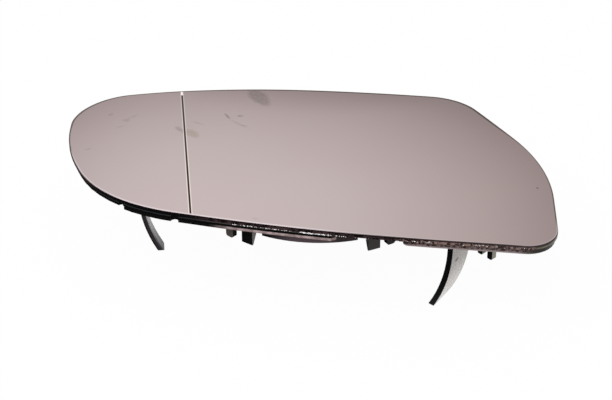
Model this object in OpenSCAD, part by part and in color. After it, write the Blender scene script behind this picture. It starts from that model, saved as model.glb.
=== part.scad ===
// Glass unit of a car's door mirror: a convex mirror pane with an aspheric outer zone, stuck by an
// adhesive sheet to a moulded backing plate that clips onto the mirror's adjuster.
// X runs along the mirror with the outer, rounded end at -X, Y is up on the car, Z points out of the
// face. The origin is on the axis of the clip ring, in the plane where the adjuster's disc seats.

/* [Mirror face] */
// Radius of the spherical inner zone
face_r = 1300; // [900:10:2200]
// Smaller radius of the aspheric outer zone
outer_zone_r = 420; // [250:5:800]
// Distance from the hub's axis to the dividing line
line_distance = 49.1; // [35:0.1:65]
// Lean of the dividing line from the Y axis, degrees
line_lean = 11.7; // [0:0.1:20]
// Height of the face's crown above the adjuster's seat
face_height = 4.9; // [4.3:0.1:8]

/* [Outline corners: place along X, place along Y, radius] */
// Upper corner of the outer end
upper_outer = [-106.1, 55.5, 22.1]; // [-130:0.1:130]
// Bow of the upper edge
upper_bow = [-38.2, 64.4, 473.5]; // [-60:0.1:600]
// Upper corner of the inner end
upper_inner = [52.3, 64.9, 21.6]; // [10:0.1:80]
// Bend of the inner end
inner_bend = [86.1, 10.5, 88]; // [0:0.1:110]
// Lower corner of the inner end
lower_inner = [87.3, -46.9, 12.9]; // [-60:0.1:100]
// Bow of the lower edge
lower_bow = [3.1, -50.8, 381]; // [-60:0.1:500]
// Sweep of the lower edge up to the outer end
lower_outer = [-77, -32.6, 64.3]; // [-90:0.1:90]
// Bow of the outer end
outer_bow = [-100.3, 13.3, 100.8]; // [-110:0.1:160]

/* [Layers] */
// Thickness of the glass
glass_t = 1.8; // [1.6:0.1:3]
// Thickness of the adhesive sheet
sheet_t = 0.3; // [0.2:0.05:0.6]
// Distance from the glass's edge to the sheet's edge
sheet_inset = 0.8; // [0.2:0.1:3]
// Wall of the backing plate
plate_t = 1.6; // [1.2:0.1:2.4]
// Distance from the glass's edge to the plate's edge
plate_inset = 0.7; // [0.4:0.05:1.2]

/* [Clip ring] */
// Radius that the centring pads give the adjuster's disc
pad_r = 40.8; // [36:0.1:41.4]
// Thickness of the centring pads
pad_t = 1.4; // [0.6:0.1:2.5]
// Thickness of the ring wall
wall_t = 1.7; // [1:0.1:2.5]
// Depth of the ring below the seat
ring_depth = 3.6; // [2:0.1:6]
// Angle that each part of the wall spans, degrees
wall_span = 45.4; // [30:0.2:48]
// Angle that each centring pad spans, degrees
pad_span = 12; // [8:0.5:16]
// Turn of the clips about the axis, degrees
ring_turn = 0.7; // [-10:0.1:10]
// Width of the seat ledge
seat_w = 4.5; // [2:0.1:8]

/* [Clips] */
// Angle of the upper and lower clips from the Y axis, degrees
clip_angle = 31.2; // [28:0.1:33]
// Width of a clip
clip_w = 4.8; // [3:0.1:7]
// Thickness of a clip's spring finger
clip_t = 1.5; // [1:0.1:2]
// Room between the seat and the clip's nose
clip_grip = 3.2; // [2:0.1:5]
// Depth of the clip's tip below the seat
clip_depth = 9; // [7.5:0.1:12]
// Thickness of the clip's tip
clip_tip = 0.6; // [0.4:0.1:1]

/* [Guide arms] */
// Outer radius of an arm's curve
arm_r = 55.5; // [45:0.5:70]
// Thickness of an arm
arm_t = 2.1; // [1.5:0.1:3]
// Radius of the tips' corners
arm_tip_r = 1.6; // [0.2:0.1:2.5]
// Place of the inner arm's outer face along X
inner_arm_x = 54.2; // [48:0.1:58]
// Place of the inner arm's middle along Y
inner_arm_y = -26.2; // [-28:0.1:10]
// Turn of the inner arm towards the lower edge, degrees
inner_arm_turn = 25.8; // [0:0.1:35]
// Width of the inner arm
inner_arm_w = 14.6; // [6:0.1:18]
// Depth of the inner arm's centre of curvature below the seat
inner_arm_centre = 10.6; // [0:0.1:20]
// Depth of the inner arm's tip below the seat
inner_arm_depth = 37; // [25:0.1:42]
// Slope of the inner arm's tip, degrees
inner_arm_cut = 22; // [0:1:35]
// Place of the outer arm's outer face along X
outer_arm_x = -69.1; // [-75:0.1:-62]
// Place of the outer arm's middle along Y
outer_arm_y = -3.4; // [-20:0.1:15]
// Turn of the outer arm towards the lower edge, degrees
outer_arm_turn = 12; // [0:0.1:30]
// Width of the outer arm
outer_arm_w = 6; // [5:0.1:18]
// Depth of the outer arm's centre of curvature below the seat
outer_arm_centre = 8.8; // [0:0.1:20]
// Depth of the outer arm's tip below the seat
outer_arm_depth = 35.2; // [25:0.1:42]
// Slope of the outer arm's tip, degrees
outer_arm_cut = 4; // [0:1:35]

/* [Ribs, lugs and notches] */
// Thickness of the ribs
rib_t = 1.2; // [0.8:0.1:2]
// Depth of the ribs below the plate
rib_h = 2.2; // [1:0.1:4]
// Distance from the glass's edge to the rim rib
rim_rib_inset = 9; // [7:0.5:11]
// Width of a stop lug
lug_w = 3.4; // [2.4:0.1:6]
// Radius of the stop lugs' corners
lug_tip_r = 0.9; // [0.2:0.1:1.1]
// Distance from the ring wall to the stop lugs' middle
lug_gap = 3.9; // [3.3:0.1:6]
// Angle of the stop lugs from the Y axis, degrees
lug_angle = 36; // [35.5:0.5:50]
// Depth of the stop lugs' tips below the seat
lug_depth = 5.3; // [3:0.1:10]
// Place of the release notch's middle along the lower edge
notch_x = 22; // [15:0.1:35]
// Width of the release notch
notch_w = 22.8; // [10:0.1:26]
// Depth of the release notch from the glass's edge
notch_depth = 4.3; // [3:0.1:4.5]
// Radius of the notch's mouth
notch_r = 2; // [0.5:0.1:3]
// Height of the lip along the middle of the lower edge
lip_h = 1.2; // [0.8:0.1:2]
// How far the lip reaches below the plate
lip_drop = 0.6; // [0.2:0.1:0.8]
// Distance from the glass's edge to the lip's edge
lip_inset = 0.3; // [0:0.05:0.7]
// Outer end of the lip, along X
lip_from = -69; // [-80:0.5:-20]
// Radius of the nicks in the lower edge
nick_r = 1.5; // [0.8:0.1:2]
// Width of the square pegs
peg_w = 2.2; // [1.4:0.1:3]
// Depth of the longer peg's tip below the seat
peg_depth = 8; // [5:0.1:12]

/* [Hidden] */
$fn = 64;
clip_angles = [clip_angle, 90, 180 - clip_angle, 180 + clip_angle, 270, 360 - clip_angle];
side_wall = (clip_angle + 90) / 2;
wall_angles = [0, side_wall, 180 - side_wall, 180, 180 + side_wall, -side_wall];
nick_places = [-69.3, -48];
peg_places = [[61, -40.2, peg_depth - 1.8], [64.4, -40.6, peg_depth]];
peg_turn = 40;
arc_steps = 9;
bury = 0.8;
corners = [upper_outer, upper_bow, upper_inner, inner_bend, lower_inner, lower_bow, lower_outer, outer_bow];
n_corners = len(corners);
plate_top = glass_t + sheet_t;
plate_bottom = plate_top + plate_t;
wall_r = pad_r + pad_t;
ring_out = wall_r + wall_t;
lug_r = ring_out + lug_gap;

// Outline: corners joined by tangent arcs, each moved in by the same distance.
function place(i) = let(c = corners[(i + n_corners) % n_corners]) [c.x, c.y];
function unit(v) = v / norm(v);
function half_angle(i) = acos(unit(place(i - 1) - place(i)) * unit(place(i + 1) - place(i))) / 2;
function wanted(i) = corners[(i + n_corners) % n_corners][2] / tan(half_angle(i));
function share(i, j) = norm(place(i) - place(j)) * wanted(i) / max(wanted(i) + wanted(j), norm(place(i) - place(j)));
function tangent(i) = min(wanted(i), share(i, i - 1), share(i, i + 1));
function arc_points(i, inset) =
    let(p = place(i), u = unit(place(i - 1) - p), v = unit(place(i + 1) - p), h = half_angle(i),
        t = tangent(i), r = t * tan(h), c = p + unit(u + v) * r / sin(h),
        s = p + u * t - c, e = p + v * t - c,
        from = atan2(s.y, s.x), turn = (atan2(e.y, e.x) - from + 900) % 360 - 180)
    [for (k = [0:arc_steps]) let(a = from + turn * k / arc_steps) c + max(r - inset, 0.1) * [cos(a), sin(a)]];
function outline(inset) = [for (i = [0:n_corners - 1]) each arc_points(i, inset)];

// Everything below the face, lowered by a depth: a sphere and, past the line, a torus tangent to it.
module below_face(depth) {
    edge = sqrt(face_r * face_r - line_distance * line_distance);
    inward = 1 - outer_zone_r / face_r;
    deep = face_r - 60;
    translate([0, 0, face_height - face_r - depth]) rotate([0, 0, line_lean]) rotate([0, -90, 0])
        rotate([0, 0, -5]) rotate_extrude(angle = 10, $fn = 720) {
            intersection() {
                circle(r = face_r, $fn = 720);
                translate([deep, -130]) square([100, 130 + line_distance]);
            }
            intersection() {
                translate([edge * inward, line_distance * inward]) circle(r = outer_zone_r, $fn = 360);
                translate([deep, line_distance]) square([100, 130 - line_distance]);
            }
        }
}

module shell(top, bottom, inset) {
    intersection() {
        difference() {
            below_face(top);
            below_face(bottom);
        }
        translate([0, 0, -20]) linear_extrude(40) polygon(outline(inset));
    }
}

// Part of a ring about the hub's axis, its middle at an angle from -Y.
module ring_sector(r_in, r_out, z0, z1, middle, span) {
    rotate([0, 0, middle - span / 2 - 90]) rotate_extrude(angle = span)
        translate([r_in, z0]) square([r_out - r_in, z1 - z0]);
}

module mirror_glass() {
    color([0.72, 0.66, 0.66]) shell(0, glass_t, 0);
}

module adhesive_sheet() {
    color([0.62, 0.6, 0.58]) shell(glass_t, plate_top, sheet_inset);
}

module clip(angle) {
    span = 2 * asin(clip_w / 2 / ring_out);
    rotate([0, 0, angle - span / 2 - 90]) rotate_extrude(angle = span) polygon([
        [ring_out, 8], [ring_out - clip_t, 8], [ring_out - clip_t, -clip_grip + 0.6], [pad_r, -clip_grip],
        [pad_r, -clip_grip - 0.8], [ring_out - clip_tip, -clip_depth], [ring_out, -clip_depth]]);
}

module clip_ring() {
    for (a = clip_angles) clip(ring_turn + a);
    for (a = wall_angles) {
        middle = ring_turn + a;
        ring_sector(wall_r, ring_out, -ring_depth, 8, middle, wall_span);
        ring_sector(wall_r - seat_w, wall_r + 0.4, 0, 8, middle, wall_span);
        for (side = [-1, 1])
            ring_sector(pad_r, wall_r + 0.4, -ring_depth, 8, middle + side * (wall_span / 2 - pad_span / 2 - 2), pad_span);
    }
}

// An arm seen from its end: a straight root and a curve that turns towards the hub, cut off at its tip.
module arm_profile(centre, depth, cut) {
    tip_x = sqrt(arm_r * arm_r - pow(depth - centre, 2)) - arm_r;
    difference() {
        union() {
            translate([-arm_t, -centre]) square([arm_t, centre + 8]);
            translate([-arm_r, -centre]) intersection() {
                difference() {
                    circle(r = arm_r, $fn = 180);
                    circle(r = arm_r - arm_t, $fn = 180);
                }
                translate([arm_r / 2, -arm_r]) square([arm_r / 2, arm_r]);
            }
        }
        translate([tip_x, -depth]) rotate(-cut) translate([-arm_r, -arm_r]) square([2 * arm_r, arm_r]);
    }
}

// An arm seen from outside: straight sides and rounded corners, a little below the tip's slanted end.
module arm_outline(width, depth) {
    low = depth + arm_tip_r / 4;
    translate([-width / 2, arm_tip_r - low]) square([width, low]);
    translate([arm_tip_r - width / 2, -low]) square([width - 2 * arm_tip_r, arm_tip_r]);
    for (side = [-1, 1]) translate([side * (width / 2 - arm_tip_r), arm_tip_r - low]) circle(r = arm_tip_r);
}

module arm(place, turn, width, centre, depth, cut) {
    translate(place) rotate([0, 0, turn]) intersection() {
        rotate([90, 0, 0]) translate([0, 0, -width]) linear_extrude(2 * width) arm_profile(centre, depth, cut);
        rotate([90, 0, 90]) translate([0, 0, -arm_r]) linear_extrude(2 * arm_r) arm_outline(width, depth);
    }
}

// A tab with rounded corners at its tip, standing below the plate.
module tab(width, thickness, depth, corner) {
    rotate([90, 0, 0]) translate([0, 0, -thickness / 2]) linear_extrude(thickness) {
        translate([-width / 2, corner - depth]) square([width, 8 + depth - corner]);
        translate([corner - width / 2, -depth]) square([width - 2 * corner, 2 * corner]);
        for (side = [-1, 1]) translate([side * (width / 2 - corner), corner - depth]) circle(r = corner);
    }
}

module lug(angle) {
    rotate([0, 0, angle]) translate([0, -lug_r, 0]) tab(lug_w, 2, lug_depth, lug_tip_r);
}

module pegs() {
    for (p = peg_places) translate([p.x, p.y, 0]) rotate([0, 0, -peg_turn]) tab(peg_w, peg_w, p.z, peg_w / 4);
}

// A lip along the lower edge, from its outer end to the release notch.
module lip() {
    intersection() {
        difference() {
            below_face(plate_bottom + lip_drop - lip_h);
            below_face(plate_bottom + lip_drop);
        }
        translate([0, 0, -20]) linear_extrude(40) intersection() {
            difference() {
                polygon(outline(lip_inset));
                polygon(outline(lip_inset + 4));
            }
            translate([lip_from, -100]) square([notch_x - lip_from, 100]);
        }
    }
}

// The lower edge's Y at a place along X.
function edge_y(x, pts) = min([for (i = [0:len(pts) - 1])
    let(a = pts[i], b = pts[(i + 1) % len(pts)])
    if ((a.x - x) * (b.x - x) <= 0 && a.x != b.x) a.y + (b.y - a.y) * (x - a.x) / (b.x - a.x)]);

module nicks() {
    for (x = nick_places) translate([x, edge_y(x, outline(plate_inset)) - 0.3, -20]) cylinder(h = 40, r = nick_r);
}

// Openings above the clips' noses, where the mould's cores come through.
module windows() {
    for (a = clip_angles)
        ring_sector(pad_r - 0.3, ring_out - clip_t, -1, 8, ring_turn + a, 2 * asin((clip_w / 2 + 0.4) / ring_out));
}

module ribs() {
    intersection() {
        difference() {
            below_face(plate_top + bury);
            below_face(plate_bottom + rib_h);
        }
        translate([0, 0, -20]) linear_extrude(40) {
            difference() {
                polygon(outline(rim_rib_inset));
                polygon(outline(rim_rib_inset + rib_t));
                circle(r = ring_out - wall_t / 2, $fn = 128);
            }
            intersection() {
                polygon(outline(rim_rib_inset + rib_t / 2));
                for (a = wall_angles) rotate([0, 0, ring_turn + a - 90])
                    translate([ring_out - wall_t / 2, -rib_t / 2]) square([120, rib_t]);
            }
        }
    }
}

module backing_plate() {
    color([0.09, 0.09, 0.1]) difference() {
        union() {
            difference() {
                union() {
                    shell(plate_top, plate_bottom, plate_inset);
                    lip();
                    ribs();
                }
                release_notch();
            }
            intersection() {
                below_face(plate_top + bury);
                union() {
                    clip_ring();
                    arm([inner_arm_x, inner_arm_y], -inner_arm_turn, inner_arm_w, inner_arm_centre, inner_arm_depth,
                        inner_arm_cut);
                    arm([outer_arm_x, outer_arm_y], 180 + outer_arm_turn, outer_arm_w, outer_arm_centre,
                        outer_arm_depth, outer_arm_cut);
                    for (a = [lug_angle, -lug_angle, 180 - lug_angle, 180 + lug_angle]) lug(ring_turn + a);
                    pegs();
                }
            }
        }
        nicks();
        windows();
    }
}

module release_notch() {
    translate([0, 0, -20]) linear_extrude(40) {
        difference() {
            translate([notch_x - notch_w / 2, -100]) square([notch_w, 100]);
            polygon(outline(notch_depth));
        }
        for (side = [-1, 1]) {
            x = notch_x + side * (notch_w / 2 + notch_r);
            translate([x, edge_y(x, outline(plate_inset)) + notch_r]) difference() {
                translate([side > 0 ? -notch_r - 0.1 : 0, -20]) square([notch_r + 0.1, 20]);
                circle(r = notch_r);
            }
        }
    }
}

mirror_glass();
adhesive_sheet();
backing_plate();
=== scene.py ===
# Glass unit of a car's door mirror: silvered pane, adhesive sheet and clip-on backing plate.
import math

import bpy
from mathutils import Matrix, Vector


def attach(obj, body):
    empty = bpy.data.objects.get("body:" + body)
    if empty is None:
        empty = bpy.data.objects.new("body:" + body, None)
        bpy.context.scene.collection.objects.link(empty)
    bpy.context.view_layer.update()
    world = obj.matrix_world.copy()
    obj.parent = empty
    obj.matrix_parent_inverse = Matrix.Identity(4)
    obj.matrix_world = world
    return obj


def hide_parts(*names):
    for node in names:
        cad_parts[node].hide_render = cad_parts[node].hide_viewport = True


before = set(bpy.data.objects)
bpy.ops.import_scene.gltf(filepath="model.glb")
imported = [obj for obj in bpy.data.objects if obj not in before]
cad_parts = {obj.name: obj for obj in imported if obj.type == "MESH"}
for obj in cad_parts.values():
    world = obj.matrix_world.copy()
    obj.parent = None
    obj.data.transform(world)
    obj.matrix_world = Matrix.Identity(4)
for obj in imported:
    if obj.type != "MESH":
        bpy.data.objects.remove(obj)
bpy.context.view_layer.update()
print("stage: frame loaded")

mm = 0.001
maths = "ShaderNodeMath"
vectorMath = "ShaderNodeVectorMath"
mapRange = "ShaderNodeMapRange"
mix = "ShaderNodeMix"  # its inputs: 0 share, then 2 and 3 for numbers or 6 and 7 for colours
noise = "ShaderNodeTexNoise"
separate = "ShaderNodeSeparateXYZ"
combine = "ShaderNodeCombineXYZ"
setMaterial = "GeometryNodeSetMaterial"
colourMix = {"data_type": "RGBA"}  # gives its colour at output 2
oneNumber = {"data_type": "FLOAT"}
smoothStep = {"interpolation_type": "SMOOTHSTEP"}


def toLinear(hexColour):
    parts = [int(hexColour[i:i + 2], 16) / 255 for i in (1, 3, 5)]
    return tuple(c / 12.92 if c <= 0.04045 else ((c + 0.055) / 1.055) ** 2.4 for c in parts) + (1.0,)


def addNode(tree, kind, settings=None, inputs=()):
    node = tree.nodes.new(kind)
    for name, value in ({"operation": settings} if isinstance(settings, str) else settings or {}).items():
        setattr(node, name, value)
    for key, value in (inputs.items() if isinstance(inputs, dict) else enumerate(inputs)):
        if isinstance(value, bpy.types.NodeSocket):
            tree.links.new(value, node.inputs[key])
        else:
            isColour = isinstance(value, str) and value[:1] == "#"
            node.inputs[key].default_value = toLinear(value) if isColour else value
    return node


# Adds one node per row: the name or names of its results, its kind, settings, inputs and, if need be, its
# output. An input is a value, a hex colour or the name of an earlier result, the newest one of that name.
def addRows(tree, known, rows):
    for names, kind, settings, inputs, *output in rows:
        pairs = inputs.items() if isinstance(inputs, dict) else enumerate(inputs)
        found = {key: known.get(value, value) if isinstance(value, str) else value for key, value in pairs}
        node = addNode(tree, kind, settings, found)
        if isinstance(names, tuple):
            known.update(zip(names, node.outputs))
        else:
            known[names] = node.outputs[output[0] if output else 0]
    return known


view = {
    "place": (42.3, -472.9, 262.6),  # mm
    "back": (0.086, -0.8617, 0.5),  # from what it looks at
    "right": (0.9951, 0.0993, 0.0),
    "lens": 85.0,  # mm
    "sensor": 36.0,
}
camera = bpy.data.objects.new("camera", bpy.data.cameras.new("camera"))
bpy.context.scene.collection.objects.link(camera)
camera.data.lens = view["lens"]
camera.data.sensor_width = view["sensor"]
camera.data.clip_start = 0.01
back = Vector(view["back"]).normalized()
right = Vector(view["right"]).normalized()
turned = Matrix((right, back.cross(right), back)).transposed().to_4x4()
camera.matrix_world = Matrix.Translation(Vector(view["place"]) * mm) @ turned
bpy.context.scene.camera = camera
bpy.context.scene.view_settings.view_transform = "Standard"

studio = {
    "softboxAzimuth": -14.2,  # degrees from +Y towards +X
    "softboxHeight": 34.8,  # degrees above the horizon
    "fallAcross": 0.00065,  # how fast it dims, per degree squared
    "fallUp": 0.00147,
    "fallSkew": 0.0002,
    "peak": 0.978,
    "dimmest": 0.42,
    "flag": (-5.0, 17.0, 9.0, 6.0),  # dark flag: azimuth, height, half width, half height in degrees
    "flagDepth": 0.09,
    "roomLight": 0.95,  # the rest of the room
    "floorLevel": -37.2,  # mm, under the arms' tips
    "floorReach": 4.0,  # m
    "floorShadow": 0.03,  # share of the floor's own shading that the camera sees
    "floorDark": 0.02,  # the floor in front and to the left, as glossy faces show it
    "lampPlace": (-0.5, -0.7, 0.9),  # m
    "lampSize": (0.9, 0.6),
    "lampPower": 6.0,
}
world = bpy.data.worlds.new("studio")
bpy.context.scene.world = world
world.use_nodes = True
world.node_tree.nodes.clear()
toDegrees = 180 / math.pi
flagAzimuth, flagHeight, flagHalfWidth, flagHalfHeight = studio["flag"]
flagAside, flagUp = flagAzimuth - studio["softboxAzimuth"], flagHeight - studio["softboxHeight"]
sky = addRows(world.node_tree, {}, [
    ("direction", "ShaderNodeTexCoord", None, [], "Generated"),
    (("x", "y", "z"), separate, None, ["direction"]),
    ("azimuthRadians", maths, "ARCTAN2", ["x", "y"]),
    ("heightRadians", maths, "ARCSINE", ["z"]),
    ("across", maths, "MULTIPLY_ADD", ["azimuthRadians", toDegrees, -studio["softboxAzimuth"]]),
    ("above", maths, "MULTIPLY_ADD", ["heightRadians", toDegrees, -studio["softboxHeight"]]),
    ("acrossSquared", maths, "MULTIPLY", ["across", "across"]),
    ("aboveSquared", maths, "MULTIPLY", ["above", "above"]),
    ("side", maths, "MULTIPLY_ADD", ["acrossSquared", -studio["fallAcross"], studio["peak"]]),
    ("upright", maths, "MULTIPLY_ADD", ["aboveSquared", -studio["fallUp"], "side"]),
    ("diagonal", maths, "MULTIPLY", ["across", "above"]),
    ("glow", maths, "MULTIPLY_ADD", ["diagonal", studio["fallSkew"], "upright"]),
    ("flagAcross", mapRange, {"clamp": False}, ["across", flagAside, flagAside + flagHalfWidth, 0.0, 1.0]),
    ("flagAbove", mapRange, {"clamp": False}, ["above", flagUp, flagUp + flagHalfHeight, 0.0, 1.0]),
    ("flagPlace", combine, None, ["flagAcross", "flagAbove", 0.0]),
    ("flagFar", vectorMath, "LENGTH", ["flagPlace"], "Value"),
    ("flagShade", mapRange, smoothStep, ["flagFar", 1.1, 0.5, 0.0, studio["flagDepth"]]),
    ("flagged", maths, "SUBTRACT", ["glow", "flagShade"]),
    ("softbox", maths, "SMOOTH_MAX", ["flagged", studio["dimmest"], 0.05]),
    # The front half of the room, the ceiling and what lies below the horizon are plainly lit.
    ("front", mapRange, smoothStep, ["y", 0.45, -0.1, 0.0, 1.0]),
    ("ceiling", mapRange, smoothStep, ["z", 0.72, 0.9, 0.0, 1.0]),
    ("ground", mapRange, smoothStep, ["z", 0.02, -0.06, 0.0, 1.0]),
    ("frontOrCeiling", maths, "MAXIMUM", ["front", "ceiling"]),
    ("plain", maths, "MAXIMUM", ["frontOrCeiling", "ground"]),
    ("level", mix, oneNumber, {0: "plain", 2: "softbox", 3: studio["roomLight"]}),
    ("warmth", mapRange, None, ["level", 0.5, 0.9, 0.0, 1.0]),
    ("tint", mix, colourMix, {0: "warmth", 6: "#FFF7F7", 7: "#FFFFFF"}, 2),
    ("seen", "ShaderNodeLightPath", None, [], "Is Camera Ray"),
    ("room", "ShaderNodeBackground", None, ["tint", "level"]),
    ("white", "ShaderNodeBackground", None, ["#FFFFFF", 1.0]),
    ("both", "ShaderNodeMixShader", None, ["seen", "room", "white"]),
])
addNode(world.node_tree, "ShaderNodeOutputWorld", None, [sky["both"]])

reach, level = studio["floorReach"], studio["floorLevel"] * mm
floorCorners = [(x * reach, y * reach, level) for x, y in ((-1, -1), (1, -1), (1, 1), (-1, 1))]
floorMesh = bpy.data.meshes.new("floor")
floorMesh.from_pydata(floorCorners, [], [(0, 1, 2, 3)])
floor = bpy.data.objects.new("floor", floorMesh)
bpy.context.scene.collection.objects.link(floor)
floorPaper = bpy.data.materials.new("floorPaper")  # matt white sweep paper
floorPaper.use_nodes = True
floorPaper.node_tree.nodes.clear()
paper = addRows(floorPaper.node_tree, {}, [
    ("place", "ShaderNodeTexCoord", None, [], "Object"),
    (("x", "y", "z"), separate, None, ["place"]),
    # In front and to the left lies what glossy faces see as dark. Places are in metres here.
    ("front", mapRange, smoothStep, ["y", 0.012, -0.012, 0.0, 1.0]),
    ("lean", maths, "MULTIPLY_ADD", ["y", 0.3, "x"]),
    ("left", mapRange, smoothStep, ["lean", 0.045, 0.020, 0.0, 1.0]),
    ("farLeft", mapRange, smoothStep, ["x", -0.085, -0.10, 0.0, 1.0]),
    ("nearLeft", maths, "MULTIPLY", ["front", "left"]),
    ("dim", maths, "MAXIMUM", ["nearLeft", "farLeft"]),
    ("glossLevel", mapRange, None, ["dim", 0.0, 1.0, 1.0, studio["floorDark"]]),
    (("camera", "shadow", "diffuse", "glossy"), "ShaderNodeLightPath", None, []),
    ("through", "ShaderNodeLightPath", None, [], "Is Transmission Ray"),
    ("level", mix, oneNumber, {0: "glossy", 2: 1.0, 3: "glossLevel"}),
    ("direct", maths, "MAXIMUM", ["camera", "through"]),
    ("seen", maths, "MAXIMUM", ["direct", "glossy"]),
    ("share", maths, "MULTIPLY", ["seen", 1 - studio["floorShadow"]]),
    ("matt", "ShaderNodeBsdfDiffuse", None, ["#F6F6F6"]),
    ("glow", "ShaderNodeEmission", None, ["#FFFFFF", "level"]),
    ("both", "ShaderNodeMixShader", None, ["share", "matt", "glow"]),
])
addNode(floorPaper.node_tree, "ShaderNodeOutputMaterial", None, [paper["both"]])
floorMesh.materials.append(floorPaper)

lamp = bpy.data.objects.new("softLamp", bpy.data.lights.new("softLamp", "AREA"))
lamp.data.shape = "RECTANGLE"
lamp.data.size, lamp.data.size_y = studio["lampSize"]
lamp.data.energy = studio["lampPower"]
lamp.location = studio["lampPlace"]
lamp.rotation_euler = (-lamp.location).to_track_quat("-Z", "Y").to_euler()
lamp.visible_glossy = False
bpy.context.scene.collection.objects.link(lamp)
print("stage: camera, studio and floor")

# The face's rule, shared by all that follows the pane.
face = {
    "innerRadius": 1300.0,  # mm, spherical zone
    "outerRadius": 420.0,  # aspheric zone
    "lineDistance": 49.1,  # from the ring's axis to the dividing line
    "lineLean": 11.7,  # degrees
    "crown": 4.9,  # height above the ring's seat
    # Corners of the outline: x, y, radius
    "corners": [(-106.1, 55.5, 22.1), (-38.2, 64.4, 473.5), (52.3, 64.9, 21.6), (86.1, 10.5, 88.0),
                (87.3, -46.9, 12.9), (3.1, -50.8, 381.0), (-77.0, -32.6, 64.3), (-100.3, 13.3, 100.8)],
    "outlineStep": 0.6,  # between the outline's points
    "closest": 0.02,  # nearer points are left out
}
lean = math.radians(face["lineLean"])
acrossLine = (math.cos(lean), math.sin(lean), 0.0)
alongLine = (-math.sin(lean), math.cos(lean), 0.0)


# The outline: its corners rounded by tangent arcs. Where two would overlap, both shrink to share the side.
def outlinePoints():
    places = [Vector(c[:2]) for c in face["corners"]]
    count = len(places)
    halves, wanted = [], []
    for i, place in enumerate(places):
        before, after = (places[i - 1] - place).normalized(), (places[(i + 1) % count] - place).normalized()
        halves.append(math.acos(before.dot(after)) / 2)
        wanted.append(face["corners"][i][2] / math.tan(halves[i]))
    points = []
    for i, place in enumerate(places):
        before, after = places[i - 1] - place, places[(i + 1) % count] - place
        length = wanted[i]
        for j, side in ((i - 1, before), ((i + 1) % count, after)):
            length = min(length, side.length * wanted[i] / max(wanted[i] + wanted[j], side.length))
        radius = length * math.tan(halves[i])
        before, after = before.normalized(), after.normalized()
        centre = place + (before + after).normalized() * radius / math.sin(halves[i])
        start, end = place + before * length - centre, place + after * length - centre
        first, last = math.atan2(start.y, start.x), math.atan2(end.y, end.x)
        turn = (last - first + 5 * math.pi) % (2 * math.pi) - math.pi  # within half a turn
        steps = max(3, round(abs(turn) * radius / face["outlineStep"]))
        for k in range(steps + 1):
            angle = first + turn * k / steps
            points.append(centre + radius * Vector((math.cos(angle), math.sin(angle))))
    return [p for i, p in enumerate(points) if (p - points[i - 1]).length > face["closest"]]


outline = outlinePoints()


def outlineObject(name):
    mesh = bpy.data.meshes.new(name)
    edges = [(i, (i + 1) % len(outline)) for i in range(len(outline))]
    mesh.from_pydata([(p.x * mm, p.y * mm, 0) for p in outline], edges, [])
    obj = bpy.data.objects.new(name, mesh)
    bpy.context.scene.collection.objects.link(obj)
    return obj


def startTree(name, values):
    tree = bpy.data.node_groups.new(name, "GeometryNodeTree")
    tree.interface.new_socket("Geometry", in_out="INPUT", socket_type="NodeSocketGeometry")
    tree.interface.new_socket("Geometry", in_out="OUTPUT", socket_type="NodeSocketGeometry")
    for label, value in values.items():
        kind = "NodeSocketInt" if isinstance(value, int) else "NodeSocketFloat"
        tree.interface.new_socket(label, in_out="INPUT", socket_type=kind).default_value = value
    given = addNode(tree, "NodeGroupInput")
    return tree, {label: given.outputs[label] for label in ("Geometry", *values)}


def runTree(obj, tree, values):
    modifier = obj.modifiers.new(tree.name, "NODES")
    modifier.node_group = tree
    for item in tree.interface.items_tree:
        if item.in_out == "INPUT" and item.name in values:
            modifier[item.identifier] = values[item.name]
    made = bpy.data.meshes.new_from_object(obj.evaluated_get(bpy.context.evaluated_depsgraph_get()))
    obj.modifiers.remove(modifier)
    obj.data = made
    made.name = obj.name
    return obj


# Lifts a place in plan onto the face, or to a depth below it.
def faceHeightTree():
    tree = bpy.data.node_groups.new("faceHeight", "GeometryNodeTree")
    tree.interface.new_socket("Place", in_out="INPUT", socket_type="NodeSocketVector")
    tree.interface.new_socket("Depth", in_out="INPUT", socket_type="NodeSocketFloat")
    tree.interface.new_socket("Point", in_out="OUTPUT", socket_type="NodeSocketVector")
    given = addNode(tree, "NodeGroupInput")
    inner, outer, line = face["innerRadius"] * mm, face["outerRadius"] * mm, face["lineDistance"] * mm
    shift = 1 - outer / inner
    known = addRows(tree, {"place": given.outputs["Place"], "depth": given.outputs["Depth"]}, [
        ("across", vectorMath, "DOT_PRODUCT", ["place", acrossLine], "Value"),
        ("along", vectorMath, "DOT_PRODUCT", ["place", alongLine], "Value"),
        ("acrossSquared", maths, "MULTIPLY", ["across", "across"]),
        ("innerSquared", maths, "SUBTRACT", [inner * inner, "acrossSquared"]),
        ("off", maths, "ADD", ["across", line * shift]),
        ("offSquared", maths, "MULTIPLY", ["off", "off"]),
        ("outerLeft", maths, "SUBTRACT", [outer * outer, "offSquared"]),
        ("outerRoot", maths, "SQRT", ["outerLeft"]),
        ("outerReach", maths, "ADD", ["outerRoot", math.sqrt(inner * inner - line * line) * shift]),
        ("outerSquared", maths, "MULTIPLY", ["outerReach", "outerReach"]),
        ("past", maths, "LESS_THAN", ["across", -line]),
        ("reachSquared", mix, oneNumber, {0: "past", 2: "innerSquared", 3: "outerSquared"}),
        ("alongSquared", maths, "MULTIPLY", ["along", "along"]),
        ("topSquared", maths, "SUBTRACT", ["reachSquared", "alongSquared"]),
        ("top", maths, "SQRT", ["topSquared"]),
        ("level", maths, "ADD", ["top", face["crown"] * mm - inner]),
        ("height", maths, "SUBTRACT", ["level", "depth"]),
        (("x", "y", "z"), separate, None, ["place"]),
        ("point", combine, None, ["x", "y", "height"]),
    ])
    addNode(tree, "NodeGroupOutput", None, [known["point"]])
    return tree


faceHeight = faceHeightTree()


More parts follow.
